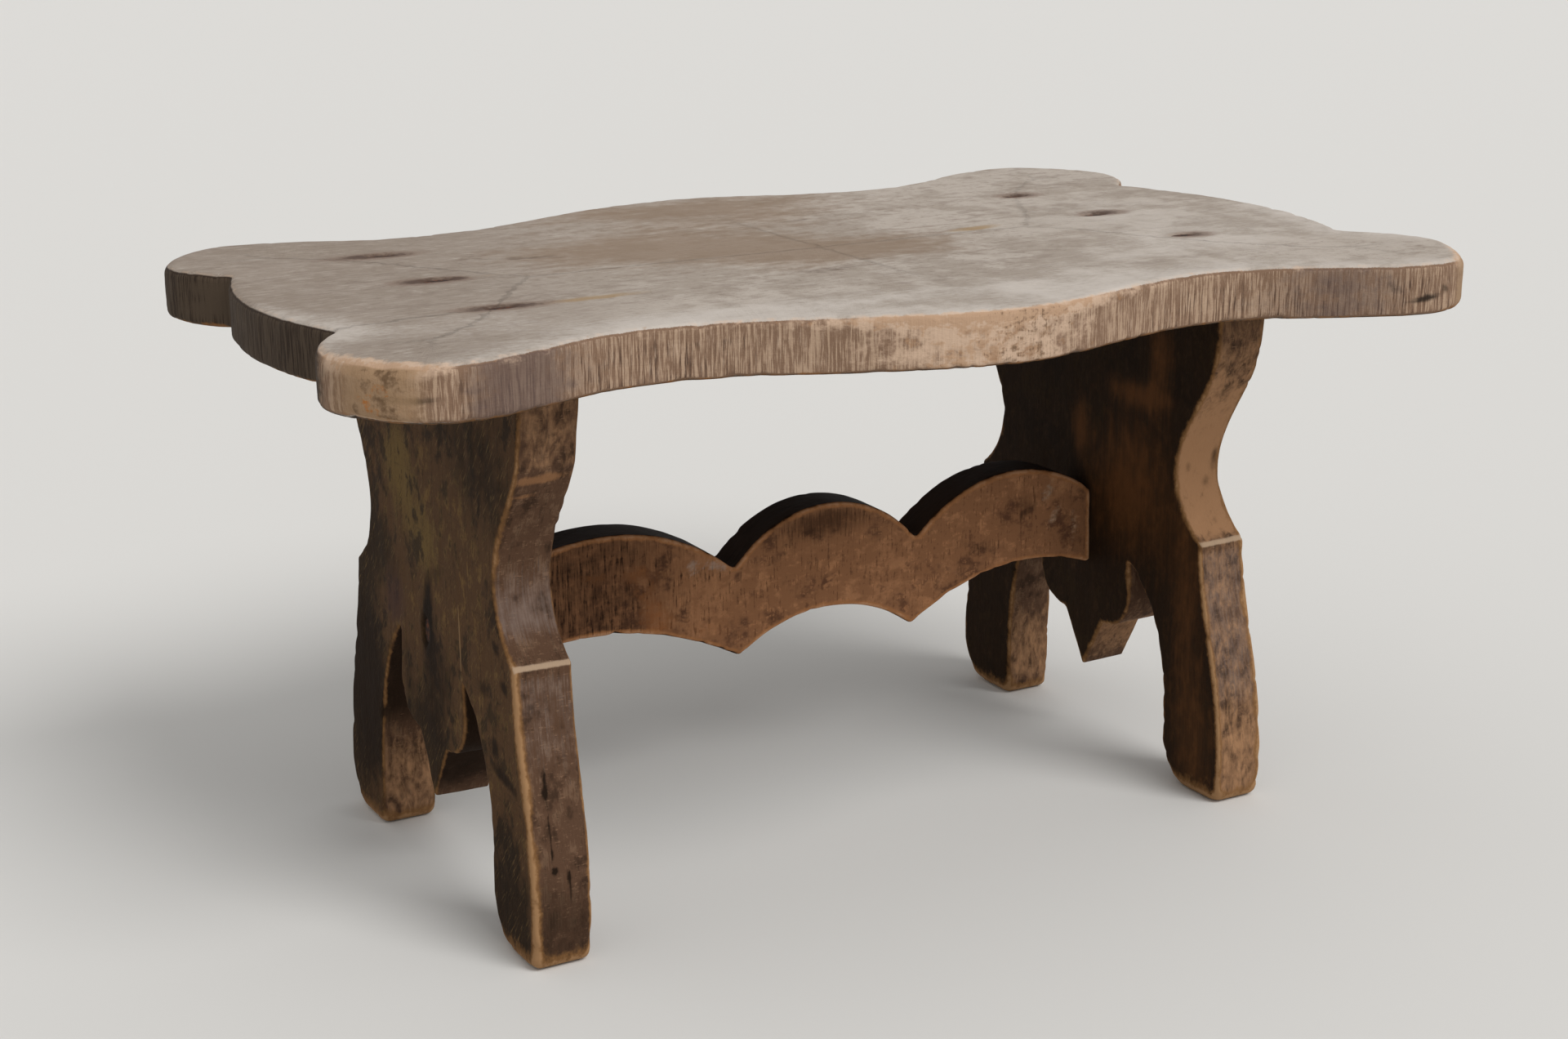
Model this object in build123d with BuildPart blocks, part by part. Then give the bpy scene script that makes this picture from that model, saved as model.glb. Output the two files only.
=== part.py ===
from build123d import *
import math
import os

# A primitive wooden stool: a scalloped seat board nailed on two lyre-shaped leg
# boards, with a shaped stretcher board nailed between them.
# Millimetres, +Z up. The origin is on the floor under the middle of the seat;
# X runs along the seat and the stretcher, Y across them.

# Whole stool
stool_height = 200
seat_length = 393
seat_thickness = 18
leg_thickness = 20
stretcher_thickness = 17
leg_gap_share = 0.6031  # of the seat's length, between the leg boards at their tops
leg_splay = 1.2  # degrees that each leg board leans outwards
seat_worn_arris = 1.8  # how far wear has cut back the seat's long edges
board_worn_arris = 1.3  # the same on the legs and the stretcher
overrun = 6  # what a board is cut longer than its finished ends

# Seat outline: half widths, the board being a little wider at its right end
seat_belly_half = 123
seat_left_waist_half = 95
seat_left_corner_half = 107
seat_right_waist_half = 107
seat_right_corner_half = 127
seat_left_cusp_depth = 13  # from the tips of the corner lobes in to their cusps
seat_right_cusp_depth = 16
seat_left_lobe_inset = 3  # from the tips of the corner lobes in to the middle lobe's
seat_right_lobe_inset = 0.5
seat_cusp_round = 1.5
seat_left_waist_share = 0.61
seat_belly_share = 0.04
seat_right_waist_share = 0.515
seat_corner_share = 0.90
seat_lobe_tip_share = 0.76
seat_left_cusp_share = 0.465
seat_right_cusp_share = 0.5

# Leg outline: half width, and shares of it across the board
leg_half = 82
leg_top_across_share = 0.939
leg_shoulder_across_share = 0.896
leg_waist_across_share = 0.665
leg_knee_across_share = 0.841
leg_shin_across_share = 0.939
foot_inner_across_share = 0.598
arch_across_share = 0.512
slit_top_across_share = 0.335
pendant_across_share = 0.348
pendant_lobe_across_share = 0.299
pendant_step_across_share = 0.144

# Leg outline: shares of the height of the seat's underside
leg_shoulder_up_share = 0.863
leg_waist_up_share = 0.626
leg_knee_up_share = 0.5165
leg_shin_up_share = 0.286
foot_upright_up_share = 0.088
slit_top_up_share = 0.44
arch_up_share = 0.33
pendant_side_up_share = 0.346
pendant_lobe_up_share = 0.294
pendant_step_up_share = 0.2654
pendant_tip_up_share = 0.154

# Leg outline: slopes, as the run across for a drop, or the drop for a run across
neck_run_share = 0.4
knee_drop_share = 0.55
slit_rise_share = 0.7
inner_corner_round = 0.8

# Stretcher outline: its depth, and shares of it up from the tips of the drops
stretcher_depth = 51.5
stretcher_arch_up_share = 0.243
stretcher_end_bottom_up_share = 0.223
stretcher_side_arch_up_share = 0.32
stretcher_cusp_up_share = 0.631
stretcher_end_top_up_share = 0.79
stretcher_hump_up_share = 0.985
stretcher_side_hump_up_share = 1

# Stretcher outline: shares of half the gap between the legs, from the pattern's middle
stretcher_pattern_shift = 7  # how far right of the stool's middle the pattern was cut
stretcher_set_back = 4  # how far behind the middle of the legs the board stands
stretcher_cusp_along_share = 0.312
stretcher_drop_along_share = 0.295
stretcher_side_hump_along_share = 0.717
stretcher_side_arch_along_share = 0.743
stretcher_drop_up_share = 0.325  # of the height of the seat's underside
stretcher_drop_round = 3
stretcher_cusp_round = 1.5

# Cut nails: rectangular head, shank with two parallel sides and two that taper
nail_length = 46
nail_head_long = 8
nail_head_wide = 5
nail_head_thickness = 1.8
nail_shank_long = 4.4
nail_shank_wide = 3
nail_point_long = 2.2
nail_sunk = 1.2  # how far the heads lie below the wood
seat_nail_spacing = 52
seat_nail_row_back = 10  # how far behind the middle of the legs the rows stand
seat_nails_per_leg = 3

# What follows from the sizes above
seat_half = seat_length / 2
seat_underside = stool_height - seat_thickness
splay = math.radians(leg_splay)
leg_inner_top = seat_length * leg_gap_share / 2
leg_inner_floor = leg_inner_top + seat_underside * math.tan(splay)
leg_top_middle = leg_inner_top + leg_thickness / math.cos(splay) / 2
stretcher_drop_height = seat_underside * stretcher_drop_up_share


def leg_inner_x(height):
    """Distance from the middle of the stool to a leg's inner face at a height."""
    return leg_inner_floor - height * math.tan(splay)


def stretcher_height(up_share):
    """Height of a point of the stretcher, by its share of the board's depth."""
    return stretcher_drop_height + up_share * stretcher_depth


def leg_plane(side):
    """Plane of a leg's inner face: x across the board, y up it, z outwards."""
    return Plane(
        origin=(side * leg_inner_floor, 0, 0),
        x_dir=(0, side, 0),
        z_dir=(side * math.cos(splay), 0, math.sin(splay)),
    )


# Nails
def make_nail(plane):
    """A cut nail driven down a plane's z axis, its head sunk under the plane."""
    neck = -nail_sunk - nail_head_thickness
    point = -nail_sunk - nail_length
    side_view = Plane(origin=plane.origin, x_dir=plane.x_dir, z_dir=-plane.y_dir)
    with BuildPart() as nail:
        with BuildSketch(plane.offset(neck)):
            Rectangle(nail_head_long, nail_head_wide)
        extrude(amount=nail_head_thickness)
        with BuildSketch(side_view):
            with BuildLine():
                Polyline(
                    (nail_shank_long / 2, neck),
                    (nail_point_long / 2, point),
                    (-nail_point_long / 2, point),
                    (-nail_shank_long / 2, neck),
                    close=True,
                )
            make_face()
        extrude(amount=nail_shank_wide / 2, both=True)
    return nail.part


def make_nail_hole(plane):
    """What a driven nail takes out of the wood: itself and the pit over its head."""
    with BuildPart() as hole:
        add(make_nail(plane))
        with BuildSketch(plane.offset(-nail_sunk)):
            Rectangle(nail_head_long, nail_head_wide)
        extrude(amount=nail_sunk + overrun)
    return hole.part


def seat_nail_y(row):
    """How far back a nail of a row stands."""
    return seat_nail_row_back + (row - (seat_nails_per_leg - 1) / 2) * seat_nail_spacing


def seat_nail_planes(side):
    """Planes on the seat's top, over the middle of a leg, one for each nail."""
    return [
        Plane(
            origin=(side * leg_top_middle, seat_nail_y(row), stool_height),
            x_dir=(1, 0, 0),
            z_dir=(0, 0, 1),
        )
        for row in range(seat_nails_per_leg)
    ]


def stretcher_nail_plane(side):
    """Plane on a leg's outer face, at the middle of the stretcher's end."""
    inner = leg_plane(side)
    outer = inner.offset(leg_thickness)
    middle_share = (stretcher_end_top_up_share + stretcher_end_bottom_up_share) / 2
    up_the_board = stretcher_height(middle_share) / math.cos(splay)
    return Plane(
        origin=outer.from_local_coords((side * stretcher_set_back, up_the_board, 0)),
        x_dir=(0, 0, 1),
        z_dir=outer.z_dir,
    )


# Seat board
def seat_cusp(side, across):
    """The point where a corner lobe meets a short end's middle lobe."""
    if side < 0:
        return (seat_left_cusp_depth - seat_half, across * seat_left_cusp_share * seat_left_corner_half)
    return (seat_half - seat_right_cusp_depth, across * seat_right_cusp_share * seat_right_corner_half)


def seat_side_line(across):
    """One long side with its corner lobes, from the left cusp to the right one."""
    left_cusp = seat_cusp(-1, across)
    right_cusp = seat_cusp(1, across)
    Spline(
        left_cusp,
        (-seat_half, across * seat_lobe_tip_share * seat_left_corner_half),
        (-seat_corner_share * seat_half, across * seat_left_corner_half),
        (-seat_left_waist_share * seat_half, across * seat_left_waist_half),
        (seat_belly_share * seat_half, across * seat_belly_half),
        (seat_right_waist_share * seat_half, across * seat_right_waist_half),
        (seat_corner_share * seat_half, across * seat_right_corner_half),
        (seat_half, across * seat_lobe_tip_share * seat_right_corner_half),
        right_cusp,
    )


def seat_end_lobe(side, inset):
    """The middle lobe of a short end, an arc between its two cusps."""
    ThreePointArc(seat_cusp(side, -1), (side * (seat_half - inset), 0), seat_cusp(side, 1))


with BuildPart() as seat_board:
    with BuildSketch(Plane.XY.offset(seat_underside)) as seat_sketch:
        with BuildLine():
            seat_side_line(-1)
            seat_end_lobe(1, seat_right_lobe_inset)
            seat_side_line(1)
            seat_end_lobe(-1, seat_left_lobe_inset)
        make_face()
        cusps = [
            seat_sketch.vertices().sort_by_distance((*seat_cusp(side, across), seat_underside))[0]
            for side in (-1, 1)
            for across in (-1, 1)
        ]
        fillet(cusps, radius=seat_cusp_round)
    extrude(amount=seat_thickness)
    flat_faces = seat_board.faces().filter_by(Axis.Z)
    chamfer(flat_faces.edges(), length=seat_worn_arris)
    for side in (-1, 1):
        for plane in seat_nail_planes(side):
            add(make_nail_hole(plane), mode=Mode.SUBTRACT)
seat_board.part.label = "seat_board"


# Leg boards
def leg_point(way, across_share, up_share):
    """A point of a leg's outline, on one half of the board."""
    return (way * across_share * leg_half, up_share * seat_underside)


def leg_half_line(way):
    """One half of a leg's outline, from the top middle round to the pendant's tip."""
    top = seat_underside + overrun
    shoulder = leg_point(way, leg_shoulder_across_share, leg_shoulder_up_share)
    waist = leg_point(way, leg_waist_across_share, leg_waist_up_share)
    knee = leg_point(way, leg_knee_across_share, leg_knee_up_share)
    shin = leg_point(way, leg_shin_across_share, leg_shin_up_share)
    ankle = (way * leg_half, foot_upright_up_share * seat_underside)
    foot_inner = way * foot_inner_across_share * leg_half
    top_half = way * leg_top_across_share * leg_half
    Polyline((0, top), (top_half, top), (top_half, seat_underside), shoulder)
    Spline(shoulder, waist, knee, tangents=[(-way * neck_run_share, -1), (way, -knee_drop_share)])
    Spline(knee, shin, ankle, tangents=[(0, -1), (0, -1)])
    Polyline(ankle, (way * leg_half, -overrun), (foot_inner, -overrun), (foot_inner, 0))
    arch = leg_point(way, arch_across_share, arch_up_share)
    slit_top = leg_point(way, slit_top_across_share, slit_top_up_share)
    Spline((foot_inner, 0), arch, slit_top, tangents=[(0, 1), (-way, slit_rise_share)])
    pendant_side = leg_point(way, pendant_across_share, pendant_side_up_share)
    lobe = leg_point(way, pendant_lobe_across_share, pendant_lobe_up_share)
    step = leg_point(way, pendant_step_across_share, pendant_step_up_share)
    Line(slit_top, pendant_side)
    Spline(pendant_side, lobe, step)
    Line(step, (0, pendant_tip_up_share * seat_underside))


def leg_inner_corners(sketch):
    """The corners where a saw turned inside the board: slit tops and pendant steps."""
    inner_points = [
        leg_point(way, across_share, up_share)
        for way in (-1, 1)
        for across_share, up_share in (
            (slit_top_across_share, slit_top_up_share),
            (pendant_step_across_share, pendant_step_up_share),
        )
    ]
    return [sketch.vertices().sort_by_distance(point)[0] for point in inner_points]


def make_leg(side):
    """A leg board: its outline along its slope, cut level at the seat and the floor."""
    plane = leg_plane(side)
    with BuildPart() as leg:
        with BuildSketch(plane) as leg_sketch:
            with BuildLine():
                leg_half_line(-1)
                leg_half_line(1)
            make_face()
            fillet(leg_inner_corners(leg_sketch), radius=inner_corner_round)
        extrude(amount=leg_thickness)
        board_faces = leg.faces().sort_by(SortBy.AREA)[-2:]
        chamfer(board_faces.edges(), length=board_worn_arris)
        split(bisect_by=Plane.XY.offset(seat_underside), keep=Keep.BOTTOM)
        split(bisect_by=Plane.XY, keep=Keep.TOP)
        for nail_plane in seat_nail_planes(side):
            add(make_nail_hole(nail_plane), mode=Mode.SUBTRACT)
        add(make_nail_hole(stretcher_nail_plane(side)), mode=Mode.SUBTRACT)
    return leg.part


# Stretcher board
def stretcher_point(side, along_share, up_share):
    """A point of the stretcher's outline, on one side of its pattern's middle."""
    return (stretcher_pattern_shift + side * along_share * leg_inner_top, stretcher_height(up_share))


def stretcher_middle_point(up_share):
    """A point of the stretcher's outline on its pattern's middle line."""
    return (stretcher_pattern_shift, stretcher_height(up_share))


def stretcher_end_point(side, up_share):
    """A corner of the stretcher's end, on the leg's inner face."""
    height = stretcher_height(up_share)
    return (side * leg_inner_x(height), height)


def stretcher_half_line(side):
    """The outline from a cusp out to the leg and back to the tip of a drop."""
    end_top = stretcher_end_point(side, stretcher_end_top_up_share)
    end_bottom = stretcher_end_point(side, stretcher_end_bottom_up_share)
    ThreePointArc(
        stretcher_point(side, stretcher_cusp_along_share, stretcher_cusp_up_share),
        stretcher_point(side, stretcher_side_hump_along_share, stretcher_side_hump_up_share),
        end_top,
    )
    Line(end_top, end_bottom)
    Spline(
        end_bottom,
        stretcher_point(side, stretcher_side_arch_along_share, stretcher_side_arch_up_share),
        stretcher_point(side, stretcher_drop_along_share, 0),
    )


with BuildPart() as stretcher:
    back_plane = Plane.XZ.offset(-stretcher_set_back - stretcher_thickness / 2)
    with BuildSketch(back_plane) as stretcher_sketch:
        with BuildLine():
            ThreePointArc(
                stretcher_point(-1, stretcher_cusp_along_share, stretcher_cusp_up_share),
                stretcher_middle_point(stretcher_hump_up_share),
                stretcher_point(1, stretcher_cusp_along_share, stretcher_cusp_up_share),
            )
            ThreePointArc(
                stretcher_point(-1, stretcher_drop_along_share, 0),
                stretcher_middle_point(stretcher_arch_up_share),
                stretcher_point(1, stretcher_drop_along_share, 0),
            )
            for side in (-1, 1):
                stretcher_half_line(side)
        make_face()
        drops = stretcher_sketch.vertices().group_by(Axis.Y)[0]
        fillet(drops, radius=stretcher_drop_round)
        middle_top = stretcher_middle_point(stretcher_hump_up_share)
        cusps = stretcher_sketch.vertices().sort_by_distance(middle_top)[:2]
        fillet(cusps, radius=stretcher_cusp_round)
    extrude(amount=stretcher_thickness)
    wide_faces = stretcher.faces().filter_by(Axis.Y)
    long_edges = wide_faces.edges().filter_by(lambda edge: edge.geom_type != GeomType.LINE)
    chamfer(long_edges, length=board_worn_arris)
    for side in (-1, 1):
        add(make_nail_hole(stretcher_nail_plane(side)), mode=Mode.SUBTRACT)
stretcher.part.label = "stretcher"

os.makedirs("parts", exist_ok=True)
export_step(seat_board.part, "parts/seat_board.step")
export_step(stretcher.part, "parts/stretcher.step")
for side, hand in ((-1, "left"), (1, "right")):
    leg = make_leg(side)
    leg.label = f"{hand}_leg"
    export_step(leg, f"parts/{hand}_leg.step")
    for row, plane in enumerate(seat_nail_planes(side), start=1):
        nail = make_nail(plane)
        nail.label = f"{hand}_seat_nail_{row}"
        export_step(nail, f"parts/{hand}_seat_nail_{row}.step")
    nail = make_nail(stretcher_nail_plane(side))
    nail.label = f"{hand}_stretcher_nail"
    export_step(nail, f"parts/{hand}_stretcher_nail.step")
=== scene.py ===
"""A primitive wooden stool of hand-sawn boards.

A scalloped seat, scrubbed pale, lies on two lyre-shaped leg boards with a shaped stretcher between
them, and iron nails hold it all.

Every board is worked out in millimetres in its own flat frame: u and v across the board's face,
w through its thickness. A saw line is drawn, worn, walked round by a rounded edge profile and
closed by its two faces. Then the board is set in place in the shared frame, in metres.
"""
import bpy
import math
import numpy as np
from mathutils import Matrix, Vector
from mathutils.geometry import delaunay_2d_cdt
from types import SimpleNamespace


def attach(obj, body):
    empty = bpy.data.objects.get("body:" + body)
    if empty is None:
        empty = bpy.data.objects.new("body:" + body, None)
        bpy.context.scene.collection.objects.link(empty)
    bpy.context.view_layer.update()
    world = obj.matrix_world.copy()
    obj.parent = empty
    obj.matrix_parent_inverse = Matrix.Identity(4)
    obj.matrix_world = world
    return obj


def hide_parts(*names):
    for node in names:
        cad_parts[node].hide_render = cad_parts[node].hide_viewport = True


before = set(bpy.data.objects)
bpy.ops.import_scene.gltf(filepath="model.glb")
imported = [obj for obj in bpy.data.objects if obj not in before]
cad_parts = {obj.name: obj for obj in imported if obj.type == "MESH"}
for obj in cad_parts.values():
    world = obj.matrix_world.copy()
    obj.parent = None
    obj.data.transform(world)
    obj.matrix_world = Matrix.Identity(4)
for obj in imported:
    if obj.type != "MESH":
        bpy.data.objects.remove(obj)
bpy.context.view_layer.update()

# Metres in a millimetre
MM = 0.001

# The legs' lean, and measures of the stool in millimetres
SPLAY = math.radians(1.2)
SEAT_UNDERSIDE = 182
SEAT_THICK = 18
LEG_THICK = 20
LEG_HALF = 82
LEG_INNER_FLOOR = 122.32
STRETCHER_THICK = 17
STRETCHER_BACK = 4
NAIL_X = 128.5
NAIL_ROWS = (-42, 10, 62)
STRETCHER_NAIL_HEIGHT = 85.2

# How many points draw one span of a curve, and one arc
SPAN_POINTS = 60
ARC_POINTS = 90

# How far to each side of the arris a face's colour gives way to the wall's, in mm
BLEND = 1.2

# Each pattern takes its noise this far from the last one's, so that none repeats another
NOISE_STEP = 613.0
NOISE = {"Detail": 4, "Roughness": 0.6}


# Saw lines
def curve_through(points, start=None, end=None):
    """A smooth line through points.

    Between neighbours it is the cubic with their places and slopes. The slopes solve the equations
    that make the bend run on at each point. An end without a given direction takes the slope of
    the parabola through its three nearest points.
    """
    p = np.array(points, float)
    h = np.linalg.norm(np.diff(p, axis=0), axis=1)
    rise = np.diff(p, axis=0) / h[:, None]
    n = len(p)
    rows, right = np.zeros((n, n)), np.zeros((n, 2))
    inner = np.arange(1, n - 1)
    rows[inner, inner - 1] = 1 / h[:-1]
    rows[inner, inner] = 2 / h[:-1] + 2 / h[1:]
    rows[inner, inner + 1] = 1 / h[1:]
    right[inner] = 3 * (rise[:-1] / h[:-1, None] + rise[1:] / h[1:, None])
    rows[0, 0] = rows[-1, -1] = 1
    turn_in = (rise[1] - rise[0]) / (h[0] + h[1])
    turn_out = (rise[-1] - rise[-2]) / (h[-1] + h[-2])
    right[0] = rise[0] - turn_in * h[0] if start is None else np.array(start) / np.hypot(*start)
    right[-1] = rise[-1] + turn_out * h[-1] if end is None else np.array(end) / np.hypot(*end)
    slope = np.linalg.solve(rows, right)
    t = np.linspace(0, 1, SPAN_POINTS)[:, None]
    spans = [
        (2 * t**3 - 3 * t**2 + 1) * p[k] + (t**3 - 2 * t**2 + t) * h[k] * slope[k]
        + (3 * t**2 - 2 * t**3) * p[k + 1] + (t**3 - t**2) * h[k] * slope[k + 1]
        for k in range(n - 1)
    ]
    return np.concatenate(spans)


def arc_through(a, b, c):
    """The circle's arc from a through b to c: its centre is as far from all three."""
    a, b, c = (np.array(q, float) for q in (a, b, c))
    centre = np.linalg.solve(2 * np.array([b - a, c - a]), [b @ b - a @ a, c @ c - a @ a])
    first, middle, last = (math.atan2(*(q - centre)[::-1]) for q in (a, b, c))
    full = 2 * math.pi
    turn = (last - first) % full
    if (middle - first) % full > turn:
        turn -= full
    angle = first + turn * np.linspace(0, 1, ARC_POINTS)
    return centre + np.linalg.norm(a - centre) * np.stack([np.cos(angle), np.sin(angle)], 1)


def walked(line, step):
    """A closed line's points again, evenly spaced by about step."""
    ring = np.vstack([line, line[:1]])
    gaps = np.linalg.norm(np.diff(ring, axis=0), axis=1)
    along = np.concatenate([[0], np.cumsum(gaps)])
    at = np.linspace(0, along[-1], int(round(along[-1] / step)), endpoint=False)
    return np.stack([np.interp(at, along, ring[:, k]) for k in (0, 1)], 1)


def worn_line(parts, step, softness):
    """The saw line joined from parts and softened by wear.

    Each point becomes the bell-weighted mean of the line near it, softness being the bell's width,
    so corners round off and long curves stay.
    """
    close = 0.1
    fine = walked(np.vstack(parts), close)
    wave = np.fft.rfftfreq(len(fine), close)[:, None]
    kept = np.exp(-2 * (math.pi * wave * softness) ** 2)
    return walked(np.fft.irfft(np.fft.rfft(fine, axis=0) * kept, len(fine), axis=0), step)


def out_of(line):
    """Unit directions out of a closed line that runs anticlockwise."""
    run = np.roll(line, -1, 0) - np.roll(line, 1, 0)
    run /= np.linalg.norm(run, axis=1)[:, None]
    return np.stack([run[:, 1], -run[:, 0]], 1)


def seat_line():
    """The seat's outline: two waved sides with corner lobes, and a middle lobe on each end.

    The corner lobes are wider on the right than on the left.
    """
    half, left, right = 196.5, 107, 127
    cusps = {-1: (13 - half, 0.465 * left), 1: (half - 16, 0.5 * right)}

    def side(way):
        return curve_through([
            (cusps[-1][0], way * cusps[-1][1]),
            (-half, way * 0.76 * left), (-0.9 * half, way * left),
            (-0.61 * half, way * 95), (0.04 * half, way * 123), (0.515 * half, way * 107),
            (0.9 * half, way * right), (half, way * 0.76 * right),
            (cusps[1][0], way * cusps[1][1]),
        ])

    def end(way, inset):
        x, y = cusps[way]
        return arc_through((x, -way * y), (way * (half - inset), 0), (x, way * y))

    return [side(-1), end(1, 0.5), side(1)[::-1], end(-1, 3)]


def leg_line(side):
    """A leg board's outline: shoulder, waist and knee, two feet, two slit arches and the pendant.

    The feet are rubbed away at the corners that look back: the back foot's outer corner and the
    front foot's inner one. The right board's shoulders are rubbed smooth too.
    """
    # A sole's corner, in mm in from its side and up from the floor
    rubbed, crisp = [(0, 15), (2.5, 7), (6.5, 2), (12, 0)], [(0, 4), (1.2, 1.2), (4, 0)]

    def half(way):
        def at(across, up):
            return (way * across * LEG_HALF, up * SEAT_UNDERSIDE)
        shoulder, waist, knee = at(0.896, 0.863), at(0.665, 0.626), at(0.841, 0.5165)
        shin, ankle, heel = at(0.939, 0.286), at(1, 0.088), at(0.598, 0)
        slit_top = 0.44 - 0.02 * (way != side)
        arch, slit, slit_side = at(0.512, 0.33), at(0.335, slit_top), at(0.348, 0.346)
        lobe, nick = at(0.299, 0.294), at(0.144, 0.2654)
        outer, inner = (rubbed, crisp) if way == side else (crisp, rubbed)
        sole = [(way * (LEG_HALF - across), up) for across, up in outer]
        sole += [(heel[0] + way * across, up) for across, up in inner[::-1]]
        arch_line = curve_through([heel, arch, slit], (0, 1), (-way, 0.7))
        top, into_knee = at(0.939, 1), (way, -0.55)
        if side > 0:
            upper = curve_through([top, shoulder, waist, knee], (0, -1), into_knee)
        else:
            neck = curve_through([shoulder, waist, knee], (-way * 0.4, -1), into_knee)
            upper = np.vstack([top, neck])
        return np.vstack([
            upper,
            curve_through([knee, shin, ankle], (0, -1), (0, -1)),
            sole,
            arch_line[arch_line[:, 1] > inner[0][1]],
            curve_through([slit_side, lobe, nick]),
            [at(0, 0.154)],
        ])
    return [half(-1), half(1)[::-1]]


def stretcher_line():
    """The stretcher's outline: three humps above, and two drops with three hollows below."""
    half, low, deep, shift, clearance = 118.5, 59.15, 51.5, 7, 0.05

    def at(way, along, up):
        return (shift + way * along * half, low + up * deep)

    def end(way, up):
        high = low + up * deep
        return (way * (LEG_INNER_FLOOR - high * math.tan(SPLAY) - clearance), high)

    def hump(way):
        return arc_through(at(way, 0.312, 0.631), at(way, 0.717, 1), end(way, 0.79))

    def hollow(way):
        return curve_through([end(way, 0.223), at(way, 0.743, 0.32), at(way, 0.295, 0)])

    middle_hump = arc_through(at(1, 0.312, 0.631), at(1, 0, 0.985), at(-1, 0.312, 0.631))
    middle_hollow = arc_through(at(-1, 0.295, 0), at(1, 0, 0.243), at(1, 0.295, 0))
    return [hollow(-1), middle_hollow, hollow(1)[::-1], hump(1)[::-1], middle_hump, hump(-1)]


# Chance, the same on each run
def wander(places, size, seed, layers=2):
    """Soft chance, about from -1 to 1.

    Values thrown at the corners of boxes of a size are blended smoothly between them. Each finer
    layer has boxes of half the size and half the strength. The sum is divided by what the first
    two layers' strengths add up to.
    """
    pool, layer_shift, two_layers = 8192, 7.3, 1.5
    spread = np.array([73856093, 19349663, 83492791])
    thrown = np.random.default_rng(seed).uniform(-1, 1, pool)
    total, strength = 0, 1
    for layer in range(layers):
        q = places / (np.array(size, float) / 2**layer) + layer_shift * layer
        cell = np.floor(q).astype(np.int64)
        part = q - cell
        part = part * part * (3 - 2 * part)
        value = 0
        for corner in np.ndindex(2, 2, 2):
            mixed = (cell + corner) @ spread % (pool - 1)
            weight = np.prod(np.where(corner, part, 1 - part), axis=1)
            value = value + weight * thrown[mixed]
        total = total + strength * value
        strength /= 2
    return total / two_layers


def near(places, marks):
    """How much of the marks lies at each place.

    Each mark (u, v, long, wide, turn, strength) is a bell with its top at u and v. It falls off
    over its length and its width, and turn is in degrees.
    """
    total = np.zeros(len(places))
    for u, v, long, wide, turn, strength in marks:
        du, dv = places[:, 0] - u, places[:, 1] - v
        c, s = math.cos(math.radians(turn)), math.sin(math.radians(turn))
        down, across = (du * c + dv * s) / long, (dv * c - du * s) / wide
        total += strength * np.exp(-(down**2 + across**2))
    return total


def bell(distance, reach):
    """1 at no distance and falling away: e to the power of minus the square of their ratio."""
    return np.exp(-((distance / reach) ** 2))


def eased(value, low, high):
    """0 under low, 1 over high, and a soft step between."""
    t = np.clip((value - low) / (high - low), 0, 1)
    return t * t * (3 - 2 * t)


def nearest(places, line):
    """For each place the index of the line's nearest point, and how far that is."""
    which, far, batch = [], [], 1500
    for some in np.array_split(places, max(1, len(places) // batch)):
        gap = ((some[:, None] - line[None]) ** 2).sum(2)
        which.append(gap.argmin(1))
        far.append(np.sqrt(gap.min(1)))
    return np.concatenate(which), np.concatenate(far)


def edge_wear(line, seed, base, uneven, nicks, nick_size):
    """The radius that wear gave the arris at each point of a line, in mm.

    It is a wandering base, with nicks added at chance places.
    """
    least, most, wave = 0.7, 8, 14
    chance = np.random.default_rng(seed)
    here = np.column_stack([line, np.full(len(line), seed * 10.0)])
    radius = base + uneven * wander(here, (wave, wave, wave), seed, 3)
    for where, size, length in chance.uniform(0, 1, (nicks, 3)):
        centre = line[int(where * (len(line) - 1))]
        far = np.linalg.norm(line - centre, axis=1)
        radius += nick_size * (0.4 + size) * bell(far, 0.8 + 2.2 * length)
    return np.clip(radius, least, most)


# A board
def face_places(line, spacing, fine_spots):
    """Places that fill one face: rings that follow the edge, then a jittered grid.

    The grid is closer near fine_spots, each (u, v, reach, spacing). A ring's point that comes
    closer to the line than the ring's inset lies in a fold of the ring and is left out.
    """
    # Each ring's inset in mm, and whether each of its points stays or every second one
    rings = ((0.95, 1), (1.5, 1), (2.2, 1), (3.1, 1), (4.2, 2))
    unfolded, jitter = 0.93, 0.25
    places = []
    for inset, keep in rings:
        ring = (line - inset * out_of(line))[::keep]
        places.append(ring[nearest(ring, line)[1] > unfolded * inset])
    low, high = line.min(0), line.max(0)
    spans = [np.arange(a, b, spacing) for a, b in zip(low, high)]
    grid = np.stack(np.meshgrid(*spans), -1).reshape(-1, 2)
    grid += np.random.default_rng(5).uniform(-jitter, jitter, grid.shape) * spacing
    for u, v, reach, close in fine_spots:
        square = np.arange(-reach, reach, close)
        spot = np.stack(np.meshgrid(square, square), -1).reshape(-1, 2) + (u, v)
        grid = grid[np.abs(grid - (u, v)).max(1) > reach + spacing / 3]
        grid = np.vstack([grid, spot[np.abs(spot - (u, v)).max(1) < reach]])
    which, far = nearest(grid, line)
    inside = ((line[which] - grid) * out_of(line)[which]).sum(1) > 0
    places.append(grid[inside & (far > rings[-1][0] + spacing / 2)])
    return np.vstack(places)


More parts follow.
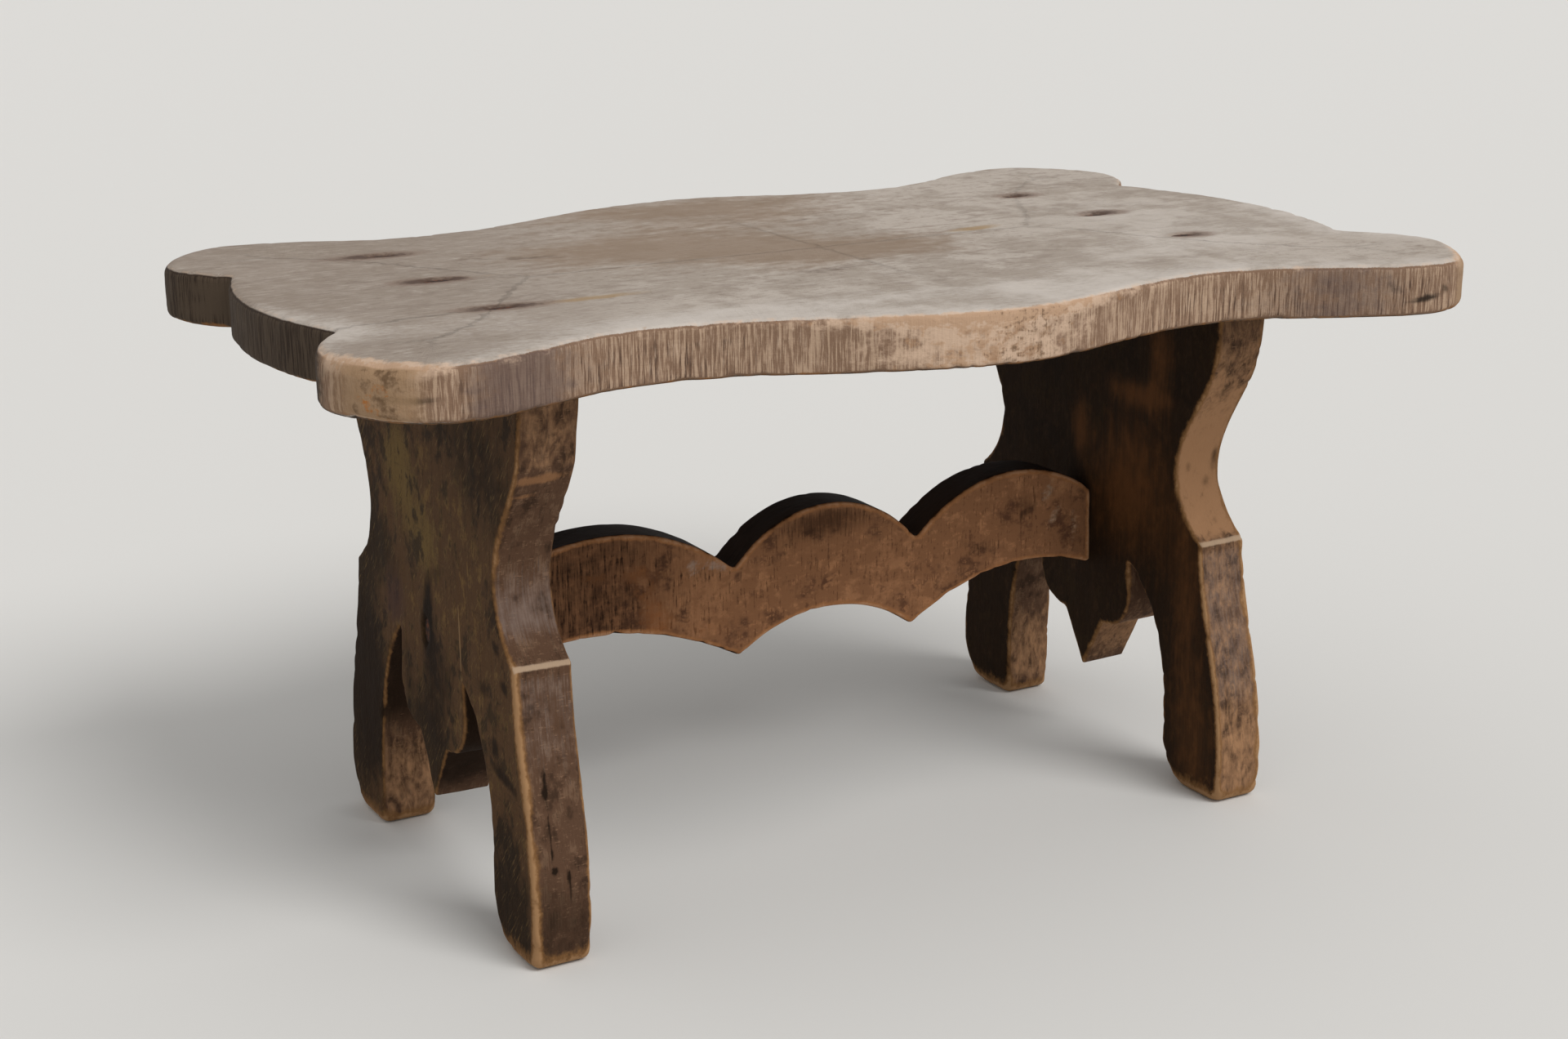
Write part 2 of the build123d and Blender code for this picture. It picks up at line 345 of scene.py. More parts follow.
def filled(ring, places):
    """Triangles over a ring and the places in it, each corner a row of ring, then of places.

    A triangle that only bridges ring points stays if a ray from its middle crosses the ring an
    odd number of times.
    """
    count, inside_only, same_place, no_rise = len(ring), 1, 1e-7, 1e-9
    border = [(k, (k + 1) % count) for k in range(count)]
    corners = [Vector(p) for p in np.vstack([ring, places]).tolist()]
    out = delaunay_2d_cdt(
        corners, border, [list(range(count))], inside_only, same_place, False)
    tri = np.array(out[2])
    a, b, c = (np.array([tuple(v) for v in out[0]])[tri[:, k]] for k in range(3))
    turned = (b[:, 0] - a[:, 0]) * (c[:, 1] - a[:, 1]) < (b[:, 1] - a[:, 1]) * (c[:, 0] - a[:, 0])
    tri[turned] = tri[turned][:, ::-1]
    bridge = (tri < count).all(1)
    x, y = ((a + b + c) / 3)[bridge].T[:, :, None]
    start, stop = ring, np.roll(ring, -1, 0)
    level = np.where(stop[:, 1] == start[:, 1], no_rise, (stop - start)[:, 1])
    between = (start[:, 1] > y) != (stop[:, 1] > y)
    crossed = between & (x < start[:, 0] + (stop - start)[:, 0] / level * (y - start[:, 1]))
    kept = np.ones(len(tri), bool)
    kept[bridge] = crossed.sum(1) % 2 == 1
    return tri[kept]


def edge_profile(thick, wear_high, wear_low, wall_rows):
    """The worn edge from high face to low face: at each step how far in and how high it lies.

    It is a quarter circle of the wear's radius, a straight wall, and a quarter circle. Each
    quarter circle stops a little short of its face, at face_inset, where the face takes it on.
    """
    face_inset, shares = 0.45, (1, 0.72, 0.45, 0.2, 0)
    rows = []
    for wear, way in ((wear_high, 1), (wear_low, -1)):
        top = np.arccos(1 - face_inset / wear)
        rows.append([
            (wear * (1 - np.cos(top * share)), way * (thick / 2 - wear * (1 - np.sin(top * share))))
            for share in shares
        ])
    upper, lower = rows[0], rows[1][::-1]
    wall = [
        (np.zeros_like(wear_high), upper[-1][1] * (1 - share) + lower[0][1] * share)
        for share in np.linspace(0, 1, wall_rows + 2)[1:-1]
    ]
    return upper + wall + lower


def saw_board(name, line, thick, wears, spacing, wall_rows, set_in_place, fine_spots=()):
    """A board as a mesh, and at, which says where each of its corners lies in its own frame.

    at holds each corner's u, v and w, its reach in from the saw line, its depth under the nearer
    face, how far along the line it is, the direction out of the line, how far from the arris it
    is, and how much it belongs to the wall.

    The board's edge is the worn profile carried along the saw line. The two faces, which a grid of
    two parameters can't fill between arches and cusps, are triangles over scattered places. Near
    the edge they follow the same quarter circle by their distance from the line.
    """
    count, gap = len(line), np.linalg.norm(line[1] - line[0])
    profile = edge_profile(thick, *wears, wall_rows)
    own = np.vstack([
        np.column_stack([line - inset[:, None] * out_of(line), height]) for inset, height in profile
    ])
    beside = np.tile(np.arange(count), len(profile))
    reach = np.concatenate([inset for inset, height in profile])
    lap = np.arange(count)
    step = np.arange(len(profile) - 1)[:, None] * count
    ahead = (lap + 1) % count + step
    strips = np.stack([lap + step, lap + step + count, ahead + count, ahead], -1)
    faces = strips.reshape(-1, 4).tolist()
    for wear, way, row in ((wears[0], 1, 0), (wears[1], -1, len(profile) - 1)):
        places = face_places(line, spacing, fine_spots if way > 0 else ())
        tri = filled(own[row * count:(row + 1) * count, :2], places)
        tri = np.where(tri < count, tri + row * count, tri - count + len(own))
        faces += (tri if way > 0 else tri[:, ::-1]).tolist()
        which, far = nearest(places, line)
        short = np.clip(wear[which] - far, 0, None)
        drop = wear[which] - np.sqrt(wear[which] ** 2 - short**2)
        own = np.vstack([own, np.column_stack([places, way * (thick / 2 - drop)])])
        beside = np.concatenate([beside, which])
        reach = np.concatenate([reach, far])
    mesh = bpy.data.meshes.new(name)
    mesh.from_pydata((set_in_place(own) * MM).tolist(), [], faces)
    mesh.update()
    mesh.polygons.foreach_set("use_smooth", np.ones(len(mesh.polygons), bool))
    board = bpy.data.objects.new(name, mesh)
    bpy.context.scene.collection.objects.link(board)
    at = SimpleNamespace(own=own, reach=reach, depth=thick / 2 - np.abs(own[:, 2]))
    at.u, at.v, at.w = own.T
    at.along, at.out = beside * gap, out_of(line)[beside]
    at.from_arris = np.hypot(reach, at.depth)
    at.wall = eased(at.depth - reach, -BLEND, BLEND)
    return board, at


def carve(board, depth):
    """Moves each corner along its outward direction by depth millimetres, inwards if negative."""
    mesh = board.data
    count = len(mesh.vertices)
    place, out = np.zeros(count * 3), np.zeros(count * 3)
    mesh.vertices.foreach_get("co", place)
    mesh.vertex_normals.foreach_get("vector", out)
    moved = place.reshape(-1, 3) + out.reshape(-1, 3) * depth[:, None] * MM
    mesh.vertices.foreach_set("co", moved.ravel())
    mesh.update()


# Materials
def plain_light(hex_colour):
    """A written sRGB colour as the linear light that the shader takes."""
    shares = [int(hex_colour[k:k + 2], 16) / 255 for k in (1, 3, 5)]
    return [s / 12.92 if s <= 0.04045 else ((s + 0.055) / 1.055) ** 2.4 for s in shares] + [1]


def add(tree, kind, settings=None, links=None, out=0):
    """Adds a node and gives its output, if it has one.

    settings are its properties; links gives sockets or plain values for its inputs.
    """
    made = tree.nodes.new(kind)
    for key, value in (settings or {}).items():
        setattr(made, key, value)
    for key, value in (links or {}).items():
        if isinstance(value, bpy.types.NodeSocket):
            tree.links.new(value, made.inputs[key])
        else:
            made.inputs[key].default_value = value
    return made.outputs[out] if made.outputs else made


def new_material(name):
    """An empty node material with its shader and output."""
    made = bpy.data.materials.new(name)
    made.use_nodes = True
    tree = made.node_tree
    tree.nodes.clear()
    surface = add(tree, "ShaderNodeBsdfPrincipled")
    add(tree, "ShaderNodeOutputMaterial", None, {"Surface": surface})
    return made, tree, surface.node


def blended(tree, layers, shares, base=0.0):
    """The sum of layers, each times its share, on a base."""
    total = base
    for key, share in shares.items():
        total = add(tree, "ShaderNodeMath", {"operation": "MULTIPLY_ADD"}, {
            0: layers[key], 1: share, 2: total})
    return total


def coated(tree, layers, ground, coats):
    """A ground colour under coats.

    Each coat (colour, shares, low, high, strength) covers, up to its strength, where the sum of
    the layers by their shares rises from low to high.
    """
    colour = plain_light(ground)
    for coat, shares, low, high, strength in coats:
        cover = add(tree, "ShaderNodeMapRange", {"interpolation_type": "SMOOTHSTEP"}, {
            0: blended(tree, layers, shares), 1: low, 2: high, 3: 0, 4: strength})
        colour = add(tree, "ShaderNodeMix", {"data_type": "RGBA"}, {
            0: cover, 6: colour, 7: plain_light(coat)}, out=2)
    return colour


def old_wood(name, grain, edge_marks, ground, coats, heights, gloss, sheen):
    """Bare old wood that was never planed again.

    grain is the axis, 0 to 2, that the fibres run along. edge_marks are patterns in the edge's own
    run: how long each is along the edge and through the board, in mm. What the eye gets is fine
    broken fibres over soft clouds of dirt, marks of the saw on the edges, and smooth rubbed
    arrises. heights are shares of the layers in the relief, in mm. gloss is a roughness and the
    layers' shares that change it; sheen is how strongly the surface mirrors.
    """
    made, tree, shader = new_material(name)
    drift_length, drift_size, scrape_turn, swirl_twist = 60, 9, 0.65, 1.6
    metres = add(tree, "ShaderNodeTexCoord", out=3)
    place = add(tree, "ShaderNodeVectorMath", {"operation": "SCALE"}, {0: metres, 3: 1 / MM})
    drift = add(tree, "ShaderNodeTexNoise", None, {
        "Vector": place, "Scale": 1 / drift_length, "Detail": 1}, out=1)
    bent = add(tree, "ShaderNodeVectorMath", {"operation": "MULTIPLY_ADD"}, {
        0: drift, 1: [drift_size] * 3, 2: place})
    along, through = (
        add(tree, "ShaderNodeAttribute", {"attribute_name": key}, out=2)
        for key in ("along", "through")
    )
    # place is in mm, bent is the same shifted by slow soft chance, so that fibres wander, and run
    # is the edge unrolled: along it, and through the board
    run = add(tree, "ShaderNodeCombineXYZ", None, {0: along, 1: through})
    # Each pattern's size in mm, along the fibres and across them. Wood fibres, dust and scratches
    # are a tenth of a millimetre wide or less, which the picture can't show, so grain, fine, dust
    # and scrape here and scratch, hair and dash on the edges are drawn coarser.
    patterns = {
        "cloud": (place, 55, 55), "patch": (place, 16, 16), "mottle": (place, 6.5, 4.5),
        "fleck": (place, 2.2, 1.6), "dust": (place, 0.9, 0.9), "streak": (bent, 50, 7),
        "grain": (bent, 26, 1.3), "fine": (bent, 9, 0.55), "cross": (place, 0.8, 9),
        "upright": (place, 0.9, 9), "swirl": (place, 9, 3), "scrape": (place, 7, 0.7),
        **{key: (run, *size) for key, size in edge_marks.items()},
    }
    used = {key for coat in coats for key in coat[1]} | set(heights) | set(gloss[1])
    layers = {}
    for number, key in enumerate(sorted(used)):
        if key in patterns:
            source, long, wide = patterns[key]
            first = 0 if source is run else grain
            spread = add(tree, "ShaderNodeMapping", {"vector_type": "TEXTURE"}, {
                0: source, "Location": [NOISE_STEP * number] * 3,
                "Rotation": (scrape_turn if key == "scrape" else 0.0, 0, 0),
                "Scale": [long if axis == first else wide for axis in range(3)]})
            layers[key] = add(tree, "ShaderNodeTexNoise", None, {
                "Vector": spread, "Scale": 1, **NOISE,
                "Distortion": swirl_twist if key == "swirl" else 0.0})
        else:
            layers[key] = add(tree, "ShaderNodeAttribute", {"attribute_name": key}, out=2)
    tree.links.new(coated(tree, layers, ground, coats), shader.inputs["Base Color"])
    tree.links.new(blended(tree, layers, gloss[1], gloss[0]), shader.inputs["Roughness"])
    relief = add(tree, "ShaderNodeBump", None, {
        "Strength": 1, "Distance": MM, "Height": blended(tree, layers, heights)})
    tree.links.new(relief, shader.inputs["Normal"])
    shader.inputs["Specular IOR Level"].default_value = sheen
    return made


# Scrubbed pine. What the eye gets is a bleached grey top with brown stains and broken dark fibres,
# over a warmer edge that the saw combed upright.
seat_wood = old_wood(
    "scrubbed_seat_pine", 0, {"comb": (0.6, 14), "scratch": (0.35, 6)}, "#9D9185", [
        # The top: bleached clouds, broken fibres, the brown middle, blotches and the white margin
        ("#B5AA9F", {"cloud": 0.5, "patch": 0.5}, 0.43, 0.56, 0.85),
        ("#85776A", {"ash": 1, "cloud": 0.6, "patch": 0.6}, 1.05, 1.6, 0.7),
        ("#83756A", {"mottle": 0.5, "streak": 0.5}, 0.51, 0.6, 0.42),
        ("#BDB3A8", {"mottle": -0.3, "fine": -0.7}, -0.49, -0.36, 0.45),
        ("#75675B", {"fine": 0.5, "fleck": 0.5}, 0.52, 0.66, 0.6),
        ("#84705D", {"grime": 1, "cloud": 0.9, "streak": 0.6, "mottle": 0.6}, 1.25, 1.85, 0.8),
        ("#65564B", {"dusk": 1, "mottle": 0.9, "grain": 0.6}, 1.15, 1.7, 0.75),
        ("#C8BFB6", {"pale": 1, "patch": 0.8, "mottle": 0.7, "fleck": 0.8}, 1.4, 2.2, 0.75),
        ("#96794F", {"ochre": 1, "streak": 0.5, "mottle": 0.5}, 0.85, 1.45, 0.7),
        # The edge: saw comb over zones, pale worn lengths with black specks
        ("#7F6552", {"edge": 1, "scratch": 0.6}, 0.62, 0.9, 1),
        ("#AB917A", {"edge": 2, "comb": 0.75, "mottle": 0.25}, 2.47, 2.57, 0.95),
        ("#4E3C32", {"edge": 2, "comb": -0.75, "mottle": 0.25, "peach": -0.35}, 1.76, 1.87, 0.78),
        ("#BCA48E", {"edge": 2, "scratch": 1}, 2.55, 2.66, 0.55),
        ("#61504A", {"umber": 1, "mottle": 0.7, "comb": 0.6}, 1.1, 1.5, 0.75),
        ("#C9AD95", {"peach": 1, "mottle": 1.2, "fleck": 0.8}, 1.5, 2.05, 0.85),
        ("#A0764F", {"peach": 0.6, "mottle": -1, "fleck": 0.8}, 0.42, 0.6, 0.4),
        ("#5A4534", {"specks": 1, "fleck": 1, "scratch": 0.6}, 1.5, 1.75, 0.75),
        # Painted shade: near black on the left end's walls, which look away from the light, and on
        # the low arris, with lighter comb lines; also the unscrubbed underside and the knobs' own
        # dark streaks
        ("#2C231C", {"shade": 1, "mottle": 0.5, "fleck": 0.3}, 0.65, 1.1, 0.95),
        ("#574A3D", {"shade": 1, "comb": 1, "scratch": 0.4}, 1.54, 1.74, 0.65),
        ("#967A5D", {"knob": 1, "mottle": 0.4}, 0.55, 1.05, 0.85),
        ("#5F4833", {"knob": 1, "mottle": 1.4, "fleck": 0.8}, 1.95, 2.35, 0.8),
        ("#A4662F", {"knob": 1, "mottle": -1.2, "fleck": 0.6}, 0.78, 0.95, 0.8),
        ("#8F6238", {"rim": 1, "fleck": 0.8, "mottle": 0.8}, 1.4, 1.8, 0.75),
        # Nail marks
        ("#7F6C5F", {"stain": 1, "streak": 0.3, "fleck": 0.5}, 0.6, 1.05, 0.75),
        ("#46342B", {"stain": 1, "grain": 0.3, "fleck": 0.7}, 1.05, 1.5, 0.85),
        ("#6B4036", {"rust": 1, "fleck": 1}, 1.15, 1.5, 0.6),
    ],
    heights={
        "grain": 0.12, "fine": 0.14, "fleck": 0.12, "mottle": 0.1, "comb": 0.16, "scratch": 0.06},
    gloss=(0.85, {"patch": -0.1}), sheen=0.1,
)

# Aged beech. What the eye gets is dark brown faces clouded with olive and blotted with black,
# mottled narrow edges and arrises rubbed to a light tan.
leg_wood = old_wood(
    "aged_leg_beech", 2, {"hair": (11, 0.6), "dash": (0.5, 5)}, "#533C28", [
        # The faces: olive and umber clouds, dark blots, fine scrapes across the upright fibres
        ("#775C38", {"cloud": 0.35, "mottle": 0.65}, 0.5, 0.61, 0.85),
        ("#6F5A34", {"olive": 1, "mottle": 0.9, "scrape": 0.6}, 1.05, 1.6, 0.7),
        ("#2B2017", {"patch": 0.5, "mottle": 0.5}, 0.51, 0.59, 0.85),
        ("#291E14", {"grime": 1, "cloud": 0.7, "mottle": 0.9}, 1.05, 1.65, 0.9),
        ("#221910", {"grain": 0.5, "scrape": 0.5}, 0.53, 0.62, 0.7),
        ("#806643", {"scrape": 0.85, "fleck": 0.15}, 0.54, 0.68, 0.5),
        ("#2A2017", {"cross": 1}, 0.56, 0.7, 0.3),
        ("#3E2B2D", {"plum": 1, "streak": 0.6, "patch": 0.4}, 0.9, 1.5, 0.55),
        # The edges: mottled, with upright hairs and short dashes across
        ("#563F30", {"edge": 1, "fleck": 0.3}, 0.45, 0.85, 1),
        ("#705744", {"edge": 2, "mottle": 0.6, "hair": 0.4}, 2.5, 2.6, 0.75),
        ("#36271D", {"edge": 2, "patch": -0.5, "mottle": -0.5}, 1.52, 1.62, 0.8),
        ("#2A1D15", {"edge": 2, "hair": 0.6, "fleck": 0.4}, 2.52, 2.64, 0.65),
        ("#8A6B54", {"edge": 2, "dash": 0.4, "fleck": 0.6}, 2.54, 2.65, 0.5),
        ("#74635A", {"sheen": 1, "hair": 0.8, "mottle": 0.8}, 1.1, 1.8, 0.85),
        ("#8F6747", {"warm": 1, "mottle": 0.8, "hair": 0.5}, 1.1, 1.6, 0.75),
        ("#A57D5B", {"tan": 1, "swirl": 0.9, "mottle": 0.8}, 1.15, 1.8, 0.88),
        # Near black: painted shade on the inner faces, in the arches and on the walls that look
        # back, with dark spots and smudges
        ("#22170F", {"dusk": 1, "streak": 0.4, "mottle": 0.7}, 0.8, 1.4, 0.9),
        ("#6A4426", {"glow": 1, "streak": 0.7, "mottle": 0.8, "grain": 0.5}, 1.3, 2.2, 0.75),
        # Rubbed arrises
        ("#7B5836", {"rub": 1, "mottle": 0.8, "fleck": 0.8}, 1.0, 1.5, 0.85),
        ("#9F7B57", {"rub": 1, "mottle": 0.8, "fleck": 0.9}, 1.45, 1.85, 0.85),
        ("#AF967D", {"cream": 1, "fleck": 0.5}, 0.7, 1.15, 0.85),
        # Nail mark, pits and cracks
        ("#1D140D", {"stain": 1, "grain": 0.4, "fleck": 0.6}, 0.85, 1.4, 0.95),
        ("#5E3A1C", {"rust": 1, "fleck": 0.8}, 0.9, 1.4, 0.8),
        ("#8A6D4D", {"hairline": 1, "grain": 0.5}, 0.6, 0.9, 0.75),
    ],
    heights={
        "grain": 0.14, "fine": 0.1, "fleck": 0.12, "mottle": 0.12, "scrape": 0.08,
        "hairline": 0.15},
    gloss=(0.8, {"rub": -0.1, "patch": -0.12, "sheen": -0.15}), sheen=0.05,
)

# Handled beech. What the eye gets is a red-brown face, sooty to the left, with edges painted near
# black as shade under the seat, and arrises rubbed pale.
stretcher_wood = old_wood(
    "handled_stretcher_beech", 0, {"hair": (11, 0.6), "zone": (24, 12)}, "#855D41", [
        ("#9A6E4E", {"cloud": 0.4, "mottle": 0.6}, 0.46, 0.56, 0.8),
        ("#4C3226", {"patch": 0.6, "mottle": 0.4}, 0.5, 0.6, 0.8),
        ("#AC7A55", {"fleck": 0.45, "mottle": 0.55}, 0.52, 0.62, 0.6),
        ("#543828", {"upright": 0.6, "fleck": 0.4}, 0.53, 0.62, 0.65),
        ("#3C281C", {"grime": 1, "mottle": 0.9, "upright": 0.6}, 1.05, 1.6, 0.85),
        ("#925D38", {"warm": 1, "mottle": 1.4, "upright": 0.9}, 1.8, 2.5, 0.75),
        # The edges: painted shade, near black, on the walls under the seat, with upright hairs
        ("#2A1B11", {"edge": 1, "fleck": 0.3}, 0.45, 0.85, 1),
        ("#1B110A", {"edge": 2, "hair": 0.6, "zone": 0.4}, 2.5, 2.64, 0.7),
        ("#9C6B45", {"rub": 1, "mottle": 0.5, "fleck": 0.5}, 0.85, 1.15, 0.9),
        ("#B98D6B", {"rub": 1, "fleck": 0.7, "mottle": 0.3}, 1.1, 1.4, 0.7),
        ("#1F130C", {"stain": 1, "upright": 1.2, "fleck": 0.5}, 1.3, 1.6, 0.85),
        # A lifted chip on the first hump: pale wood, partly a painted highlight
        ("#9A8577", {"flake": 1, "fleck": 1, "dust": 0.5}, 1.15, 1.6, 0.75),
        ("#A8917B", {"pale": 1, "fleck": 0.9, "dust": 0.5}, 1.0, 1.6, 0.7),
    ],
    heights={"grain": 0.06, "fleck": 0.12, "mottle": 0.08, "fine": 0.06, "upright": 0.06},
    gloss=(0.82, {"rub": -0.1, "patch": -0.15}), sheen=0.03,
)


def rusted_iron():
    """Hand-cut iron, rusted dull.

    What the eye gets is dark brown with orange crumbs of about 1.6 mm and no bright metal.
    """
    crumb_size = 1.6
    made, tree, shader = new_material("rusted_nail_iron")
    place = add(tree, "ShaderNodeTexCoord", out=3)
    crumbs = add(tree, "ShaderNodeTexNoise", None, {
        "Vector": place, "Scale": 1 / MM / crumb_size, **NOISE})
    rust = coated(tree, {"crumbs": crumbs}, "#251913", [("#5C3520", {"crumbs": 1}, 0.45, 0.65, 1)])
    tree.links.new(rust, shader.inputs["Base Color"])
    shader.inputs["Roughness"].default_value = 0.85
    shader.inputs["Metallic"].default_value = 0.15
    shader.inputs["Specular IOR Level"].default_value = 0.25
    relief = add(tree, "ShaderNodeBump", None, {
        "Strength": 0.7, "Distance": 0.3 * MM, "Height": crumbs})
    tree.links.new(relief, shader.inputs["Normal"])
    return made


nail_iron = rusted_iron()


def dress(board, at, wood, node, painted):
    """Gives a board its painted layers and its wood, and lets it ride in place of its CAD node."""
    layers = {"along": at.along, "through": at.w, "edge": at.wall, **painted}
    for key, values in layers.items():
        layer = board.data.attributes.new(key, "FLOAT", "POINT")
        layer.data.foreach_set("value", np.asarray(values, np.float32))
    board.data.materials.append(wood)
    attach(board, "root")
    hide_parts(node)


# The seat
def build_seat():
    """The seat board: a dished top, corner lobes worn round, and pits and stains at the nails."""
    set_back, dish_depth, pit_depth = 0.3, 0.2, 1.5
    line = worn_line(seat_line(), step=1.3, softness=1.1)
    corners = near(line, [
        (-188, -92, 22, 26, 0, 3.2), (-188, 92, 22, 26, 0, 2), (186, -112, 22, 26, 0, 2.4),
        (186, 112, 22, 26, 0, 1.8), (-194, 0, 10, 40, 0, 1.4), (194, 0, 10, 40, 0, 1.2),
    ])
    high = edge_wear(line, seed=11, base=2.3, uneven=0.6, nicks=110, nick_size=0.7) + corners
    low = edge_wear(line, seed=12, base=1.8, uneven=0.5, nicks=110, nick_size=0.8) + 0.8 * corners
    nails = [(side * NAIL_X, row) for side in (-1, 1) for row in NAIL_ROWS]
    board, at = saw_board(
        "seat", line, SEAT_THICK, (high, low), spacing=1.7, wall_rows=12,
        set_in_place=lambda own: own + (0, 0, SEAT_UNDERSIDE + SEAT_THICK / 2),
        fine_spots=[(u, v, 8, 0.6) for u, v in nails],
    )
    spot, top, wall = at.own[:, :2], at.w > 0, at.wall
    dish = eased(at.reach, 0, 60) * top
    rough = 0.22 * wander(at.own, (30, 12, 30), seed=3, layers=3)
    rough += 0.1 * wander(at.own, (6, 2.5, 6), seed=4)
    sawn = 0.14 * wander(at.own, (3, 3, 6), seed=6) * eased(at.depth, 0.5, 3) * (at.reach < 2)
    pits = eased(near(spot, [(u, v, 6, 3.4, 0, 1) for u, v in nails]), 0.25, 0.9) * top
    carve(board, rough - set_back - dish_depth * dish - pit_depth * pits + sawn)

    front = wall * eased(-at.out[:, 1], 0.3, 0.8)
    # The left end's walls, which look away from the light, get painted shade
    left_end = wall * eased(-at.out[:, 0], 0.3, 0.7) * eased(at.v, -92, -60)
    knobs = near(spot, [(-188, -98, 14, 26, 0, 1), (186, -118, 12, 26, 0, 0.8)])
    height = at.w + SEAT_THICK / 2
    on_front = np.column_stack([at.u, height])
    front_marks = front * near(on_front, [
        (-180, 7.4, 8, 1.5, 2, 0.65), (-187, 10, 3.5, 4.5, 0, 0.45), (-191, 5, 3, 3, 0, 0.4),
        (-193, 13, 3, 2, 0, 0.35), (160, 6, 8, 1.5, 8, 0.7), (168, 9, 3, 1.5, -30, 0.5),
        (178, 12, 5, 2, 0, 0.4), (148, 10, 8, 4, 0, 0.35),
    ])
    dress(board, at, seat_wood, "seat_board", {
        "edge": eased(at.depth - at.reach - 0.3 * top, -BLEND, BLEND),
        "ash": top * (1 - eased(at.u - 0.4 * at.v, -170, 60)),
        "grime": top * near(spot, [
            (-22, 8, 66, 44, 0, 0.8), (10, 80, 60, 34, 0, 0.6), (30, -12, 36, 22, 0, 0.5),
            (-70, 40, 50, 26, 0, 0.35), (0, 108, 90, 22, 0, 0.45),
        ]),
        "dusk": top * near(spot, [
            (-104, 44, 9, 6, 10, 0.6), (-10, -38, 20, 6, 2, 0.7), (-20, 7, 24, 6, 0, 0.4),
            (-87, 31, 24, 4, -14, 0.75), (31, 54, 9, 3, 0, 0.8), (-76, -22, 22, 7, -4, 0.5),
            (10, -27, 16, 5, 0, 0.4), (24, -62, 1.5, 22, 24, 0.5), (-157, 20, 16, 5, -20, 0.4),
            (-60, -52, 26, 4, 0, 0.3),
        ]),
        "pale": top * (
            (0.38 - 0.22 * np.sign(at.v)) * bell(at.reach, 14) - 0.6 * knobs + near(spot, [
                (-60, -86, 60, 16, 0, 0.6), (30, -96, 60, 20, 0, 0.65), (140, -10, 50, 80, 0, 0.55),
                (-150, -60, 50, 24, 0, 0.5), (100, -60, 50, 20, 10, 0.5),
            ])),
        "ochre": top * near(spot, [
            (74, 6, 15, 5, 10, 1), (-98, -43, 24, 4, 4, 0.95), (-110, 9, 9, 3, 0, 0.6)]),
        "knob": wall * near(spot, [(-188, -98, 14, 26, 0, 1), (184, -118, 15, 26, 0, 0.9)]),
        "stain": top * near(spot, [
            (-131, 61, 18, 6.5, -4, 1.15), (-132, 9.5, 14, 6.5, -3, 1.15),
            (-128, -42.5, 18, 6, -4, 1.15), (-121, 9, 3, 3, 0, 0.6), (131, 62, 11, 7.5, 0, 1),
            (133, 11, 12, 7.5, 0, 1), (131, -44, 10, 7, 0, 0.95),
        ]),
        "rust": top * near(spot, [(u - 3, v, 8, 2.6, 0, 0.8) for u, v in nails]),
        "umber": front * near(spot, [
            (-154, -100, 20, 40, 0, 0.75), (-120, -100, 40, 40, 0, 0.45),
            (140, -115, 30, 40, 0, 0.65), (100, -115, 30, 40, 0, 0.3)]),
        "peach": wall * (near(spot, [(-5, -118, 50, 30, 0, 1)]) + 0.5 * eased(height, 11.5, 16))
        + 0.7 * top * (1 - wall) * bell(at.reach, 3.5)
        + knobs * bell(at.reach * top, 7),
        "specks": front * near(spot, [
            (5, -120, 34, 30, 0, 0.65), (178, -120, 16, 30, 0, 0.7), (-189, -100, 9, 30, 0, 0.75),
            (70, -110, 60, 30, 0, 0.35)]),
        # Painted shade on the left end's walls and on the low arris; the unscrubbed underside is
        # darker, and front_marks are the knobs' own dark streaks
        "shade": left_end * 0.95
        + ~top * (0.6 * (1 - wall) + 0.5 * bell(at.depth, 0.8)) + front_marks,
        "rim": 0.85 * bell(at.depth + 2 * top, 2) * (at.reach < 4)
        + front * near(on_front, [
            (-189, 14.5, 3.5, 2.6, 0, 0.8), (-190, 3.5, 5, 3, 0, 0.7), (178, 2, 12, 2, 0, 0.5)]),
    })


build_seat()


